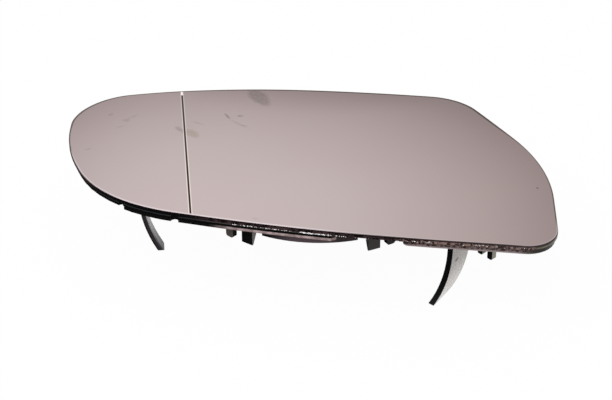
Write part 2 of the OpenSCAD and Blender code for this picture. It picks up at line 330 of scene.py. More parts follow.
# A material with its place in millimetres, and how deep that lies below the face, ready for patterns.
def startMaterial(name, base, roughness, metallic=0.0, ior=1.5, gloss=0.5):
    material = bpy.data.materials.new(name)
    material.use_nodes = True
    tree = material.node_tree
    shader = tree.nodes["Principled BSDF"]
    for label, value in (("Base Color", toLinear(base)), ("Roughness", roughness), ("Metallic", metallic),
                         ("IOR", ior), ("Specular IOR Level", gloss)):
        shader.inputs[label].default_value = value
    outerSag = 0.5 / face["innerRadius"] - 0.5 / face["outerRadius"]
    known = addRows(tree, {}, [
        ("metres", "ShaderNodeTexCoord", None, [], "Object"),
        ("place", vectorMath, "MULTIPLY", ["metres", (1000, 1000, 1000)]),
        (("x", "y", "z"), separate, None, ["place"]),
        ("plan", vectorMath, "MULTIPLY", ["place", (1, 1, 0)]),
        ("radius", vectorMath, "LENGTH", ["plan"], "Value"),
        ("radiusSquared", maths, "MULTIPLY", ["radius", "radius"]),
        ("innerSag", maths, "MULTIPLY_ADD", ["radiusSquared", -0.5 / face["innerRadius"], face["crown"]]),
        ("across", vectorMath, "DOT_PRODUCT", ["place", acrossLine], "Value"),
        ("fromLine", maths, "ADD", ["across", face["lineDistance"]]),
        ("past", maths, "MINIMUM", ["fromLine", 0.0]),
        ("pastSquared", maths, "MULTIPLY", ["past", "past"]),
        ("sag", maths, "MULTIPLY_ADD", ["pastSquared", outerSag, "innerSag"]),
        ("depth", maths, "SUBTRACT", ["sag", "z"]),
        ("normal", "ShaderNodeNewGeometry", None, [], "Normal"),
        (("nx", "ny", "nz"), separate, None, ["normal"]),
    ])
    return material, tree, shader, known


def finishMaterial(tree, shader, known, wanted):
    for label, name in wanted.items():
        tree.links.new(known[name], shader.inputs[label])


# Where the near edge ends, as a slope: x from and to, y from and to, in mm.
nearSlope = (-100, -40, 8, -34)
middleSpan = (-48, -26)  # where the edge turns from its black outer part to its mottled middle
# Blots of about 2 mm on the cut edges, and finer ones of about 1 mm.
blotRow = ("blots", noise, None, {"Vector": "place", "Scale": 0.42, "Detail": 4.0, "Roughness": 0.65})
fineBlotRows = [
    ("fineBlots", noise, None, {"Vector": "place", "Scale": 1.1, "Detail": 3.0, "Roughness": 0.6}),
    ("fineBlotted", mapRange, None, ["fineBlots", 0.44, 0.57, 0.0, 1.0]),
]
paneMarks = {
    "silver": ("#C7B7B7", "#CBBCB9"),
    "polish": 0.02,  # roughness of the clean face
    "smudged": 0.16,  # what a full smudge adds to it
    "ragged": 1.8,  # mm, how far the smudges' borders wander
    "line": "#2E180D",
    "lineHalfWidth": 0.36,  # mm
    "lineBorder": 0.3,
    "lineBorderColour": "#FFF1EA",
    "dashFrom": 68.1,  # along the line, where its upper end is painted white
    "rim": "#5C5244",
    "rimFar": 1.15,  # width of the dark rim at the upper edge
    "rimSide": 0.35,
    "nearHighlight": 0.75,  # how strong the painted highlight along the near edge is
    # Smudges: x, y, half length, half width in mm, turn in degrees, colour, strength
    "smudges": [
        (-29.7, 55.5, 9.6, 3.9, -63.0, "#857979", 0.64),
        (-56.3, 23.2, 4.4, 1.3, -50.0, "#8A7D7C", 0.50),
        (-51.8, 20.6, 4.8, 2.4, -46.0, "#A08E79", 0.52),
        (-50.7, 29.7, 3.6, 0.7, -25.0, "#A5989A", 0.35),
        (-40.1, 36.4, 2.9, 0.7, -56.0, "#857878", 0.75),
        (-35.0, 36.9, 1.3, 1.0, 0.0, "#8A7E7E", 0.62),
        (-34.4, 29.6, 5.6, 0.8, -42.0, "#A39798", 0.38),
        (-32.1, 28.1, 1.5, 0.6, -8.0, "#988C8D", 0.45),
        (-88.2, 39.6, 1.1, 1.1, 0.0, "#8E8183", 0.50),
        (-80.4, 33.2, 1.7, 1.4, 0.0, "#A5967F", 0.45),
        (-78.3, 36.2, 2.8, 1.0, 39.0, "#A5988F", 0.32),
        (-81.6, 27.6, 1.6, 0.9, 0.0, "#9A8E8F", 0.28),
        (-90.5, 9.5, 1.6, 1.0, 20.0, "#9C9091", 0.30),
        (-18.5, -41.9, 1.4, 0.8, 0.0, "#A89B9C", 0.35),
        (80.6, -7.2, 0.5, 0.6, 0.0, "#6A5D5D", 0.85),
    ],
}


# Smudges: rounded patches with ragged borders, duller than the silver.
def addSmudges(tree, known):
    known["rough"] = paneMarks["polish"]
    ragged = paneMarks["ragged"]
    addRows(tree, known, [
        ("warp", noise, None, {"Vector": "place", "Scale": 0.26, "Detail": 3.0}, "Color"),
        ("moved", vectorMath, "MULTIPLY_ADD", ["warp", (ragged, ragged, 0.0), "place"]),
        ("grime", noise, None, {"Vector": "place", "Scale": 0.9, "Detail": 2.0}),
        ("patchy", mapRange, None, ["grime", 0.3, 0.65, 0.45, 1.0]),
    ])
    for x, y, halfLength, halfWidth, turn, tone, strength in paneMarks["smudges"]:
        centre = (x + ragged / 2, y + ragged / 2, 0)  # the warp moves it back by half its reach
        addRows(tree, known, [
            ("local", "ShaderNodeMapping", {"vector_type": "TEXTURE"},
             ["moved", centre, (0, 0, math.radians(turn)), (halfLength, halfWidth, 1.0)]),
            ("flat", vectorMath, "MULTIPLY", ["local", (1, 1, 0)]),
            ("far", vectorMath, "LENGTH", ["flat"], "Value"),
            ("spot", mapRange, smoothStep, ["far", 1.2, 0.6, 0.0, strength]),
            ("mark", maths, "MULTIPLY", ["spot", "patchy"]),
            ("colour", mix, colourMix, {0: "mark", 6: "colour", 7: tone}, 2),
            ("rough", maths, "MULTIPLY_ADD", ["mark", paneMarks["smudged"], "rough"]),
        ])


# The dividing line: the silver is cut away, dark with pale borders, and plain white, not metallic, in a dash
# at its upper end.
def addDividingLine(tree, known):
    half, border, dash = paneMarks["lineHalfWidth"], paneMarks["lineBorder"], paneMarks["dashFrom"]
    addRows(tree, known, [
        ("along", vectorMath, "DOT_PRODUCT", ["place", alongLine], "Value"),
        ("off", maths, "ABSOLUTE", ["fromLine"]),
        ("pale", mapRange, None, ["off", half + border + 0.1, half + border - 0.05, 0.0, 0.8]),
        ("dark", mapRange, None, ["off", half + 0.06, half - 0.06, 0.0, 1.0]),
        ("dash", mapRange, None, ["along", dash - 0.2, dash + 0.2, 0.0, 1.0]),
        ("bare", maths, "MULTIPLY", ["dark", "dash"]),
        ("colour", mix, colourMix, {0: "pale", 6: "colour", 7: paneMarks["lineBorderColour"]}, 2),
        ("colour", mix, colourMix, {0: "dark", 6: "colour", 7: paneMarks["line"]}, 2),
        ("colour", mix, colourMix, {0: "bare", 6: "colour", 7: "#FFFFFF"}, 2),
        ("metal", maths, "SUBTRACT", [1.0, "bare"]),
    ])


# The pane's border: a dark rim along the upper edge, a painted highlight along the near one.
def addBorder(tree, known):
    addRows(tree, known, [
        ("fromEdge", "ShaderNodeAttribute", {"attribute_name": "fromEdge"}, [], "Fac"),
        ("rimWidth", mapRange, smoothStep, ["y", 20, 48, paneMarks["rimSide"], paneMarks["rimFar"]]),
        ("beyond", maths, "SUBTRACT", ["fromEdge", "rimWidth"]),
        ("rimEdge", mapRange, None, ["beyond", 0.1, -0.1, 0.0, 0.85]),
        ("nearLine", mapRange, None, ["x", *nearSlope]),
        ("aboveNear", maths, "SUBTRACT", ["y", "nearLine"]),
        ("notNear", mapRange, smoothStep, ["aboveNear", -2, 6, 0.0, 1.0]),
        ("rimShare", maths, "MULTIPLY", ["rimEdge", "notNear"]),
        ("colour", mix, colourMix, {0: "rimShare", 6: "colour", 7: paneMarks["rim"]}, 2),
        # Painted highlight: a pale band along the face's near edge.
        ("nearEdge", mapRange, None, ["fromEdge", 0.4, 0.25, 0.0, paneMarks["nearHighlight"]]),
        ("near", maths, "SUBTRACT", [1.0, "notNear"]),
        ("gleam", maths, "MULTIPLY", ["nearEdge", "near"]),
        ("colour", mix, colourMix, {0: "gleam", 6: "colour", 7: "#F3E6E8"}, 2),
    ])


# Silvered glass: a clean mirror, so almost no roughness; the mauve cast is the coating's.
def silveredFace():
    silver, paler = paneMarks["silver"]
    material, tree, shader, known = startMaterial("silveredGlass", silver, paneMarks["polish"], metallic=1.0)
    addRows(tree, known, [
        ("clouds", noise, None, {"Vector": "place", "Scale": 0.022, "Detail": 2.0}),
        ("colour", mix, colourMix, {0: "clouds", 6: silver, 7: paler}, 2),
    ])
    for add in (addSmudges, addDividingLine, addBorder):
        add(tree, known)
    finishMaterial(tree, shader, known, {"Base Color": "colour", "Roughness": "rough", "Metallic": "metal"})
    return material


# Ground arris of the glass: fine-ground, with a pale painted highlight along the lower edge that turns grey
# towards the right, olive-brown elsewhere.
def groundArris():
    material, tree, shader, known = startMaterial("groundArris", "#E0D0D4", 0.25, metallic=0.9)
    addRows(tree, known, [
        ("grain", noise, None, {"Vector": "place", "Scale": 0.5, "Detail": 2.0}),
        ("pale", mix, colourMix, {0: "grain", 6: "#D2C2C6", 7: "#EBDDE1"}, 2),
        # The pale tone is a painted highlight; it fades to grey further right, and the rest of the arris is
        # olive-brown.
        ("dulled", mapRange, smoothStep, ["x", -10, 36, 0.0, 1.0]),
        ("paleHere", mix, colourMix, {0: "dulled", 6: "pale", 7: "#55494B"}, 2),
        ("nearLine", mapRange, None, ["x", *nearSlope]),
        ("aboveNear", maths, "SUBTRACT", ["y", "nearLine"]),
        ("lower", mapRange, smoothStep, ["aboveNear", 4, -5, 0.0, 1.0]),
        ("before", mapRange, smoothStep, ["x", 84, 79, 0.0, 1.0]),
        ("paleShare", maths, "MULTIPLY", ["lower", "before"]),
        ("colour", mix, colourMix, {0: "paleShare", 6: "#3A3128", 7: "paleHere"}, 2),
    ])
    finishMaterial(tree, shader, known, {"Base Color": "colour"})
    return material


edgeMarks = {
    # outer is painted shade; inner's pale mottling is partly the edge's own and partly painted light; corner
    # is a painted glint.
    "outer": "#060606",
    "outerEnd": "#2C2922",
    "middle": ("#0E0708", "#3A2A2B"),
    "inner": ("#1A0D0A", "#78635E"),
    "corner": "#625F50",
    "innerFrom": 33.0,  # mm along the edge
    "cornerFrom": 80.0,
    "cornerDark": "#1C1310",
}


# Cut edge of the glass with the seal behind it: black at the outer end as painted shade, maroon-black and
# mottled further in, with paler mottling past innerFrom that is partly painted light.
def cutEdge():
    material, tree, shader, known = startMaterial("cutGlassEdge", "#1C1414", 0.3, gloss=0.2)
    start, corner = edgeMarks["innerFrom"], edgeMarks["cornerFrom"]
    addRows(tree, known, [
        blotRow,
        ("blotted", mapRange, None, ["blots", 0.42, 0.62, 0.0, 1.0]),
        ("body", mapRange, smoothStep, ["depth", 0.45, 0.85, 0.0, 1.0]),
        ("mottled", maths, "MULTIPLY", ["blotted", "body"]),
        ("middle", mix, colourMix, {0: "mottled", 6: edgeMarks["middle"][0], 7: edgeMarks["middle"][1]}, 2),
        *fineBlotRows,
        ("fine", maths, "MULTIPLY", ["fineBlotted", "body"]),
        ("inner", mix, colourMix, {0: "fine", 6: edgeMarks["inner"][0], 7: edgeMarks["inner"][1]}, 2),
        ("fromMiddle", mapRange, smoothStep, ["x", *middleSpan, 0.0, 1.0]),
        ("fromInner", mapRange, smoothStep, ["x", start - 4, start + 3, 0.0, 1.0]),
        ("fromCorner", mapRange, smoothStep, ["x", corner - 2, corner + 2, 0.0, 1.0]),
        ("fromEnd", mapRange, smoothStep, ["x", -78, -92, 0.0, 1.0]),
        # At the corner, an olive band across the edge's middle is a painted glint.
        ("cornerTop", mapRange, smoothStep, ["depth", 0.75, 1.1, 0.0, 1.0]),
        ("cornerFoot", mapRange, smoothStep, ["depth", 1.8, 1.5, 0.0, 1.0]),
        ("cornerBody", maths, "MULTIPLY", ["cornerTop", "cornerFoot"]),
        ("cornerShare", maths, "MULTIPLY", ["fromCorner", "cornerBody"]),
        # Painted shade on the left, black; painted light on the mottling further right.
        ("colour", mix, colourMix, {0: "fromEnd", 6: edgeMarks["outer"], 7: edgeMarks["outerEnd"]}, 2),
        ("colour", mix, colourMix, {0: "fromMiddle", 6: "colour", 7: "middle"}, 2),
        ("colour", mix, colourMix, {0: "fromInner", 6: "colour", 7: "inner"}, 2),
        ("colour", mix, colourMix, {0: "fromCorner", 6: "colour", 7: edgeMarks["cornerDark"]}, 2),
        ("colour", mix, colourMix, {0: "cornerShare", 6: "colour", 7: edgeMarks["corner"]}, 2),
        ("relief", noise, None, {"Vector": "place", "Scale": 0.7, "Detail": 4.0, "Roughness": 0.6}),
        ("strength", maths, "MULTIPLY", ["fromMiddle", 0.6]),
        ("bumped", "ShaderNodeBump", None, {"Strength": "strength", "Distance": 0.0003, "Height": "relief"}),
    ])
    finishMaterial(tree, shader, known, {"Base Color": "colour", "Normal": "bumped"})
    return material


# Grey protective lacquer on the back of the silvering.
def paneBack():
    material, tree, shader, known = startMaterial("backLacquer", "#3A3838", 0.5)
    addRows(tree, known, [
        ("grain", noise, None, {"Vector": "place", "Scale": 0.3}),
        ("colour", mix, colourMix, {0: "grain", 6: "#333131", 7: "#434040"}, 2),
    ])
    finishMaterial(tree, shader, known, {"Base Color": "colour"})
    return material


pane = {
    "Thickness": 1.8 * mm,
    "Arris": 0.2 * mm,
    "Roughness of edge": 0.05 * mm,
    "Around": 900,
    "Face rings": 36,
    "Edge rows": 6,
    "Back rings": 6,
}


# A sheet of quads wrapped round the pane: from the face's middle over the rim to the back's middle.
def paneTree():
    tree, known = startTree("paneLayers", pane)
    addRows(tree, known, [
        # Where the rows of face, arris, edge and back end, as shares of them all
        ("edgeStart", maths, "ADD", ["Face rings", 1.0]),
        ("edgeEnd", maths, "ADD", ["edgeStart", "Edge rows"]),
        ("backStart", maths, "ADD", ["edgeEnd", 1.0]),
        ("total", maths, "ADD", ["backStart", "Back rings"]),
        ("faceShare", maths, "DIVIDE", ["Face rings", "total"]),
        ("arrisShare", maths, "DIVIDE", ["edgeStart", "total"]),
        ("edgeShare", maths, "DIVIDE", ["edgeEnd", "total"]),
        ("footShare", maths, "DIVIDE", ["backStart", "total"]),
        ("columns", maths, "ADD", ["Around", 1.0]),
        ("lines", maths, "ADD", ["total", 1.0]),
        ("grid", "GeometryNodeMeshGrid", None, [1.0, 1.0, "columns", "lines"]),
        ("position", "GeometryNodeInputPosition", None, []),
        (("gridX", "gridY", "gridZ"), separate, None, ["position"]),
        ("round", maths, "ADD", ["gridX", 0.5]),
        ("over", maths, "ADD", ["gridY", 0.5]),
        # How far out each row lies, and how far down the edge
        ("curve", "GeometryNodeMeshToCurve", None, ["Geometry"]),
        (("value", "edgePlace", "tangent"), "GeometryNodeSampleCurve",
         {"mode": "FACTOR", "use_all_curves": True}, {"Curves": "curve", "Factor": "round"}),
        ("outward", vectorMath, "CROSS_PRODUCT", [(0, 0, 1), "tangent"]),
        ("faceScale", mapRange, None, ["over", 0.0, "faceShare", 0.0, 1.0]),
        ("backScale", mapRange, None, ["over", 1.0, "footShare", 0.0, 1.0]),
        ("scale", maths, "MINIMUM", ["faceScale", "backScale"]),
        ("topStep", mapRange, None, ["over", "faceShare", "arrisShare", 0.0, 1.0]),
        ("edgeStep", mapRange, None, ["over", "arrisShare", "edgeShare", 0.0, 1.0]),
        ("lowStep", mapRange, None, ["over", "edgeShare", "footShare", 0.0, 1.0]),
        # Dents of the cut edge, none on the face and the back
        ("bulge", maths, "SUBTRACT", ["topStep", "lowStep"]),
        ("tucked", maths, "SUBTRACT", [1.0, "bulge"]),
        ("aroundScaled", maths, "MULTIPLY", ["round", 9.0]),
        ("downScaled", maths, "MULTIPLY", ["over", 8.0]),
        ("wavePlace", combine, None, ["aroundScaled", "downScaled", 0.0]),
        ("waves", noise, None, {"Vector": "wavePlace", "Scale": 60.0, "Detail": 3.0}),
        ("swing", maths, "SUBTRACT", ["waves", 0.5]),
        ("height", maths, "ABSOLUTE", ["swing"]),
        ("amount", maths, "MULTIPLY", ["bulge", "Roughness of edge"]),
        ("dent", maths, "MULTIPLY", ["height", "amount"]),
        ("dents", maths, "MULTIPLY", ["dent", 2.0]),
        ("inset", maths, "MULTIPLY_ADD", ["tucked", "Arris", "dents"]),
        ("arrises", maths, "ADD", ["topStep", "lowStep"]),
        ("straight", maths, "MULTIPLY_ADD", ["Arris", -2.0, "Thickness"]),
        ("edgeDepth", maths, "MULTIPLY", ["edgeStep", "straight"]),
        ("depth", maths, "MULTIPLY_ADD", ["arrises", "Arris", "edgeDepth"]),
        ("outset", maths, "MULTIPLY", ["inset", -1.0]),
        ("inward", vectorMath, "SCALE", {0: "outward", "Scale": "outset"}),
        ("rim", vectorMath, "ADD", ["edgePlace", "inward"]),
        ("flat", vectorMath, "SCALE", {0: "rim", "Scale": "scale"}),
        ("point", "GeometryNodeGroup", {"node_tree": faceHeight}, {"Place": "flat", "Depth": "depth"}),
        # What the materials ask for: millimetres from the edge, and the row
        ("rimRadius", vectorMath, "LENGTH", ["rim"], "Value"),
        ("share", maths, "SUBTRACT", [1.0, "scale"]),
        ("away", maths, "MULTIPLY", ["share", "rimRadius"]),
        ("awayMm", maths, "MULTIPLY", ["away", 1000.0]),
        ("measured", "GeometryNodeStoreNamedAttribute", {"data_type": "FLOAT", "domain": "POINT"},
         {"Geometry": "grid", "Name": "fromEdge", "Value": "awayMm"}),
        ("numbered", "GeometryNodeStoreNamedAttribute", {"data_type": "FLOAT", "domain": "FACE"},
         {"Geometry": "measured", "Name": "row", "Value": "over"}),
        ("moved", "GeometryNodeSetPosition", None, {"Geometry": "numbered", "Position": "point"}),
        ("merged", "GeometryNodeMergeByDistance", None, {"Geometry": "moved", "Distance": 2e-6}),
        ("smooth", "GeometryNodeSetShadeSmooth", {"domain": "FACE"},
         {"Geometry": "merged", "Shade Smooth": True}),
        ("angle", "GeometryNodeInputMeshEdgeAngle", None, []),
        ("sharp", "FunctionNodeCompare", "GREATER_THAN", {"A": "angle", "B": math.radians(28)}),
        ("crisp", "GeometryNodeSetShadeSmooth", {"domain": "EDGE"},
         {"Geometry": "smooth", "Selection": "sharp", "Shade Smooth": False}),
        ("whichRow", "GeometryNodeInputNamedAttribute", {"data_type": "FLOAT"}, {"Name": "row"}),
        ("onArris", "FunctionNodeCompare", "GREATER_THAN", {"A": "whichRow", "B": "faceShare"}),
        ("onEdge", "FunctionNodeCompare", "GREATER_THAN", {"A": "whichRow", "B": "arrisShare"}),
        ("onBack", "FunctionNodeCompare", "GREATER_THAN", {"A": "whichRow", "B": "footShare"}),
        ("solid", "GeometryNodeRealizeInstances", None, ["crisp"]),
        ("pane", setMaterial, None, {"Geometry": "solid", "Material": silveredFace()}),
        ("pane", setMaterial, None, {"Geometry": "pane", "Selection": "onArris", "Material": groundArris()}),
        ("pane", setMaterial, None, {"Geometry": "pane", "Selection": "onEdge", "Material": cutEdge()}),
        ("pane", setMaterial, None, {"Geometry": "pane", "Selection": "onBack", "Material": paneBack()}),
    ])
    addNode(tree, "NodeGroupOutput", None, [known["pane"]])
    return tree


mirrorPane = runTree(outlineObject("mirrorPane"), paneTree(), pane)
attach(mirrorPane, "root")
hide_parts("mirror_glass")
print("stage: pane,", len(mirrorPane.data.polygons), "faces")

chips = {
    "Count": 2600,  # places round the outline
    "Smallest": 0.05 * mm,
    "Largest": 0.22 * mm,
    "Depth": 1.74 * mm,  # below the face
    "Depth further in": 1.2 * mm,
    "Scatter": 0.1 * mm,
    "Most": 0.9,  # share of the places with a chip, where they're thickest
    "Seed": 7,
}


# Chips in the glass's edge, sharp and smooth, coloured near-white as painted glints.
def chipGlints():
    material, tree, shader, known = startMaterial("paintedChipGlints", "#F2EEEE", 0.12)
    addRows(tree, known, [
        ("grain", noise, None, {"Vector": "place", "Scale": 2.5}),
        ("bright", mapRange, None, ["grain", 0.35, 0.65, 0.0, 1.0]),
        ("colour", mix, colourMix, {0: "bright", 6: "#CFC6C6", 7: "#FFFFFF"}, 2),
    ])
    finishMaterial(tree, shader, known, {"Base Color": "colour"})
    return material


def chipTree():
    tree, known = startTree("edgeChips", chips)
    triple = {"data_type": "FLOAT_VECTOR"}
    fullTurns = (6.28, 6.28, 6.28)
    addRows(tree, known, [
        ("curve", "GeometryNodeMeshToCurve", None, ["Geometry"]),
        ("points", "GeometryNodeCurveToPoints", {"mode": "COUNT"}, {"Curve": "curve", "Count": "Count"}),
        ("place", "GeometryNodeInputPosition", None, []),
        (("x", "y", "z"), separate, None, ["place"]),
        # Thickest along the middle of the lower edge, scattered further in, none round the upper edge
        ("starts", mapRange, smoothStep, ["x", -0.034, -0.014, 0.0, 1.0]),
        ("thins", mapRange, smoothStep, ["x", 0.011, 0.02, 1.0, 0.12]),
        ("middle", maths, "MULTIPLY", ["starts", "thins"]),
        ("inner", mapRange, smoothStep, ["x", 0.032, 0.036, 0.0, 0.30]),
        ("wanted", maths, "MAXIMUM", ["middle", "inner"]),
        ("ends", mapRange, smoothStep, ["x", 0.077, 0.071, 0.0, 1.0]),
        ("near", mapRange, smoothStep, ["y", -0.030, -0.036, 0.0, 1.0]),
        ("clumps", noise, None, {"Vector": "place", "Scale": 230.0, "Detail": 2.0}),
        ("clumped", mapRange, None, ["clumps", 0.42, 0.56, 0.12, 1.0]),
        ("coreStarts", mapRange, smoothStep, ["x", -0.003, -0.001, 0.0, 1.0]),
        ("coreEnds", mapRange, smoothStep, ["x", 0.0095, 0.007, 0.0, 1.0]),
        ("core", maths, "MULTIPLY", ["coreStarts", "coreEnds"]),
        ("thick", maths, "MAXIMUM", ["clumped", "core"]),
        ("wantedNear", maths, "MULTIPLY", ["wanted", "near"]),
        ("wantedHere", maths, "MULTIPLY", ["wantedNear", "ends"]),
        ("wantedNow", maths, "MULTIPLY", ["wantedHere", "thick"]),
        ("share", maths, "MULTIPLY", ["wantedNow", "Most"]),
        ("chance", "FunctionNodeRandomValue", oneNumber, {"Seed": "Seed"}, 1),
        ("chosen", "FunctionNodeCompare", "LESS_THAN", {"A": "chance", "B": "share"}),
        ("least", maths, "MULTIPLY", ["Scatter", -1.0]),
        ("jitter", "FunctionNodeRandomValue", oneNumber, {2: "least", 3: "Scatter", "Seed": 11}, 1),
        ("further", mapRange, smoothStep, ["x", 0.030, 0.036, 0.0, 1.0]),
        ("depthHere", mix, oneNumber, {0: "further", 2: "Depth", 3: "Depth further in"}),
        ("wider", mapRange, None, ["further", 0.0, 1.0, 1.0, 3.0]),
        ("depth", maths, "MULTIPLY_ADD", ["jitter", "wider", "depthHere"]),
        ("point", "GeometryNodeGroup", {"node_tree": faceHeight}, {"Place": "place", "Depth": "depth"}),
        ("seated", "GeometryNodeSetPosition", None, {"Geometry": "points", "Position": "point"}),
        ("turn", "FunctionNodeRandomValue", triple, {0: (0, 0, 0), 1: fullTurns, "Seed": 3}),
        ("size", "FunctionNodeRandomValue", oneNumber, {2: "Smallest", 3: "Largest", "Seed": 5}, 1),
        ("stretch", "FunctionNodeRandomValue", triple, {0: (0.6, 0.6, 0.6), 1: (1.3, 1.3, 1.3), "Seed": 13}),
        ("grown", mapRange, None, ["core", 0.0, 1.0, 1.0, 1.6]),
        ("finalSize", maths, "MULTIPLY", ["size", "grown"]),
        ("shape", vectorMath, "SCALE", {0: "stretch", "Scale": "finalSize"}),
        ("splinter", "GeometryNodeMeshIcoSphere", None, [1.0, 1]),
        ("placed", "GeometryNodeInstanceOnPoints", None,
         {"Points": "seated", "Selection": "chosen", "Instance": "splinter",
          "Rotation": "turn", "Scale": "shape"}),
        ("real", "GeometryNodeRealizeInstances", None, ["placed"]),
        ("done", setMaterial, None, {"Geometry": "real", "Material": chipGlints()}),
    ])
    addNode(tree, "NodeGroupOutput", None, [known["done"]])
    return tree


edgeChips = runTree(outlineObject("edgeChips"), chipTree(), chips)
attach(edgeChips, "root")
print("stage: chips,", len(edgeChips.data.polygons), "faces")


# Acrylic adhesive film, coloured near-black as painted shade in the recess between glass and plate; it is
# soft, so its sheen is broad.
def adhesiveFilm():
    material, tree, shader, known = startMaterial("acrylicAdhesive", "#2A2625", 0.45, ior=1.47)
    addRows(tree, known, [
        ("grain", noise, None, {"Vector": "place", "Scale": 0.5}),
        ("colour", mix, colourMix, {0: "grain", 6: "#0D0B0B", 7: "#2E2928"}, 2),
    ])
    finishMaterial(tree, shader, known, {"Base Color": "colour"})
    return material


plate = {
    "black": ("#060607", "#0E0D0E"),
    "below": (5.0, 5.3),  # mm under the face, where the rim ends and what hangs from the plate begins
    # lip: painted light on the lip under the glass
    "lip": ("#7C6B6A", "#A39090"),
    "lipSpan": (-36.0, -25.0, 9.5, 13.5),  # mm along the edge: starts, full, full, ends
    "lipTop": 3.2,  # mm under the face
    "seam": ("#2B2E31", "#4A4442"),  # painted highlight on the top edge under the glass: outer part, middle
    "rim": ("#1F1411", "#6B5956"),
    "rimFoot": "#85787A",
    "rimFrom": 33.0,
    "rimCorner": "#1F1A15",
    # wall: painted light on the front of the ring's wall
    "wall": ("#4E4246", "#332A2B"),
    "wallRadius": (43.4, 44.2),
    "armFrom": 40.0,  # x of the inner arm
    "innerArmLight": ("#A5A09C", "#E2DDD8"),  # painted light on the inner arm's outer face: root, tip
    "outerArmFrom": -44.0,
    "armFront": "#332F30",
    "outerArmReflection": ("#FFFFFF", "#A8A5A9", "#4A474C"),  # painted reflection on the outer arm's inner face: root, middle, tip
    # peg, clipSide, clipFront and lug: painted light on faces turned to the light
    "peg": "#8F8C7C",
    "pegsFrom": -38.0,  # y
    "clipSide": "#7D7977",
    "clipFront": "#322E2B",
    "lug": "#45413E",
    "lugPlace": (-28.0, -40.0),
    "pinMark": (52.7, -28.5, -16.9),  # ejector pin's mark on the inner arm
    "pinMarkRadius": 0.75,
    # Which way the faces with painted light look, in degrees from +X towards +Y
    "facing": {"innerArmLight": -25.8, "peg": -40.0, "clipSide": -30.5, "clipFront": -58.1, "lug": -125.4},
}


def facing(part):
    angle = math.radians(plate["facing"][part])
    return math.cos(angle), math.sin(angle), 0.0


# Painted light on the lip under the glass, fainter towards its foot, and a painted highlight on the seam
# above it.
def paintLip(tree, known):
    starts, full, fades, ends = plate["lipSpan"]
    addRows(tree, known, [
        ("seamTop", mapRange, None, ["depth", 2.0, 2.1, 0.0, 1.0]),
        ("seamFoot", mapRange, None, ["depth", 2.65, 2.5, 0.0, 1.0]),
        ("seamDepth", maths, "MULTIPLY", ["seamTop", "seamFoot"]),
        ("seamShare", maths, "MULTIPLY", ["seamDepth", "edgeFront"]),
        ("fromMiddle", mapRange, smoothStep, ["x", *middleSpan, 0.0, 1.0]),
        ("seam", mix, colourMix, {0: "fromMiddle", 6: plate["seam"][0], 7: plate["seam"][1]}, 2),
        ("colour", mix, colourMix, {0: "seamShare", 6: "colour", 7: "seam"}, 2),
        ("lipStart", mapRange, smoothStep, ["x", starts, full, 0.0, 1.0]),
        ("lipEnd", mapRange, smoothStep, ["x", ends, fades, 0.0, 1.0]),
        ("lipTop", mapRange, None, ["depth", plate["lipTop"] - 0.1, plate["lipTop"] + 0.15, 0.0, 1.0]),
        ("lipFoot", mapRange, None, ["depth", 4.35, 4.0, 0.25, 1.0]),
        ("lipAlong", maths, "MULTIPLY", ["lipStart", "lipEnd"]),
        ("lipDown", maths, "MULTIPLY", ["lipTop", "lipFoot"]),
        ("lipBand", maths, "MULTIPLY", ["lipAlong", "lipDown"]),
        ("lipShare", maths, "MULTIPLY", ["lipBand", "edgeFront"]),
        blotRow,
        ("blotted", mapRange, None, ["blots", 0.40, 0.60, 0.0, 1.0]),
        ("lip", mix, colourMix, {0: "blotted", 6: plate["lip"][0], 7: plate["lip"][1]}, 2),
        ("colour", mix, colourMix, {0: "lipShare", 6: "colour", 7: "lip"}, 2),
    ])


# The mottled rim past the release notch.
def paintRim(tree, known):
    start = plate["rimFrom"]
    addRows(tree, known, [
        *fineBlotRows,
        ("mottled", mix, colourMix, {0: "fineBlotted", 6: plate["rim"][0], 7: plate["rim"][1]}, 2),
        ("rimFoot", mapRange, smoothStep, ["depth", 2.9, 3.4, 0.0, 1.0]),
        ("rimLong", mix, colourMix, {0: "rimFoot", 6: "mottled", 7: plate["rimFoot"]}, 2),
        ("toCorner", mapRange, smoothStep, ["x", 72, 80, 0.0, 1.0]),
        ("rim", mix, colourMix, {0: "toCorner", 6: "rimLong", 7: plate["rimCorner"]}, 2),
        ("rimStart", mapRange, None, ["x", start - 1, start + 1.5, 0.0, 1.0]),
        ("rimShare", maths, "MULTIPLY", ["rimStart", "edgeFront"]),
        ("colour", mix, colourMix, {0: "rimShare", 6: "colour", 7: "rim"}, 2),
    ])


# The front of the ring's wall: painted light where it turns towards the right, darker further right.
def paintWall(tree, known):
    inside, outside = plate["wallRadius"]
    addRows(tree, known, [
        ("nearWall", mapRange, None, ["radius", inside, inside + 0.3, 0.0, 1.0]),
        ("notPast", mapRange, None, ["radius", outside, outside - 0.2, 0.0, 1.0]),
        ("lit", mapRange, smoothStep, ["nx", -0.36, -0.10, 0.0, 1.0]),
        ("wallDepth", mapRange, None, ["z", -3.8, -3.7, 0.0, 1.0]),
        ("onWall", maths, "MULTIPLY", ["nearWall", "notPast"]),
        ("litWall", maths, "MULTIPLY", ["lit", "wallDepth"]),
        ("wallBand", maths, "MULTIPLY", ["onWall", "litWall"]),
        ("wallShare", maths, "MULTIPLY", ["wallBand", "facesFront"]),
        ("pastNotch", mapRange, smoothStep, ["x", 6, 12, 0.0, 1.0]),
        ("wall", mix, colourMix, {0: "pastNotch", 6: plate["wall"][0], 7: plate["wall"][1]}, 2),
        ("colour", mix, colourMix, {0: "wallShare", 6: "colour", 7: "wall"}, 2),
    ])
